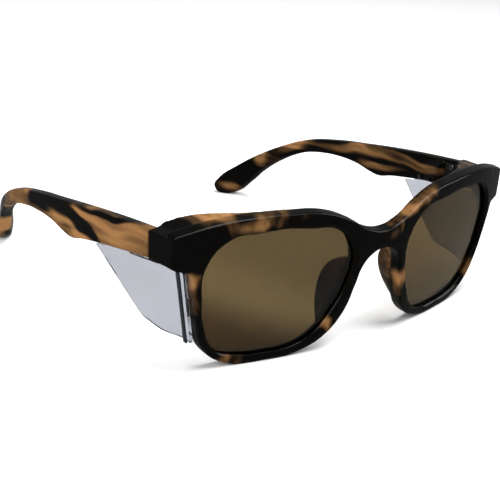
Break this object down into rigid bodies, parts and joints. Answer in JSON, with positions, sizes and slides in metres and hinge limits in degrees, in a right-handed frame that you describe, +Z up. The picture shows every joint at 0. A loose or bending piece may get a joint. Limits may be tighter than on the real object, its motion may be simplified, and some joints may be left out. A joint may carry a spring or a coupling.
{
  "type": "glacier sunglasses",
  "caption": "Tortoiseshell sunglasses with brown tinted lenses, clear side shields and temples that fold inwards on small metal hinges.",
  "frame": {"origin": "on the table, at the middle of the open glasses' plan, where both rims and both temple tips rest on Z = 0", "axes": "+X to the wearer's left, +Y from the lenses back towards the ears, +Z up"},
  "size_m": [0.1416, 0.1408, 0.0482],
  "materials": {
    "tortoise_acetate": "polished amber and dark brown tortoiseshell",
    "tinted_lens": "polished brown tint",
    "clear_shield": "clear, slightly grey",
    "seal_rubber": "near black",
    "hinge_metal": "satin, blackened",
    "screw_steel": "satin",
    "core_steel": "plain drawn wire"
  },
  "bodies": {
    "front": {"front_frame": "tortoise_acetate", "lens_left": "tinted_lens", "nose_pad_left": "tortoise_acetate", "front_hinge_leaf_left": "hinge_metal", "hinge_screw_left": "screw_steel", "front_leaf_screw_lower_left": "screw_steel", "front_leaf_screw_upper_left": "screw_steel", "lens_right": "tinted_lens", "nose_pad_right": "tortoise_acetate", "front_hinge_leaf_right": "hinge_metal", "hinge_screw_right": "screw_steel", "front_leaf_screw_lower_right": "screw_steel", "front_leaf_screw_upper_right": "screw_steel"},
    "temple_arm_left": {"temple_left": "tortoise_acetate", "temple_hinge_leaf_left": "hinge_metal", "temple_leaf_screw_lower_left": "screw_steel", "temple_leaf_screw_upper_left": "screw_steel", "temple_core_wire_left": "core_steel", "side_shield_left": "clear_shield", "shield_seal_left": "seal_rubber", "shield_pin_front_left": "screw_steel", "shield_pin_rear_left": "screw_steel"},
    "temple_arm_right": {"temple_right": "tortoise_acetate", "temple_hinge_leaf_right": "hinge_metal", "temple_leaf_screw_lower_right": "screw_steel", "temple_leaf_screw_upper_right": "screw_steel", "temple_core_wire_right": "core_steel", "side_shield_right": "clear_shield", "shield_seal_right": "seal_rubber", "shield_pin_front_right": "screw_steel", "shield_pin_rear_right": "screw_steel"}
  },
  "joints": [
    {"name": "temple_fold_left", "type": "hinge", "parent": "front", "child": "temple_arm_left", "pos_m": [0.0646, -0.04418, 0.03758], "axis": [0, 0.0758, 0.9971], "range_deg": [0, 78]},
    {"name": "temple_fold_right", "type": "hinge", "parent": "front", "child": "temple_arm_right", "pos_m": [-0.0646, -0.04418, 0.03758], "axis": [0, -0.0758, -0.9971], "range_deg": [0, 86]}
  ]
}
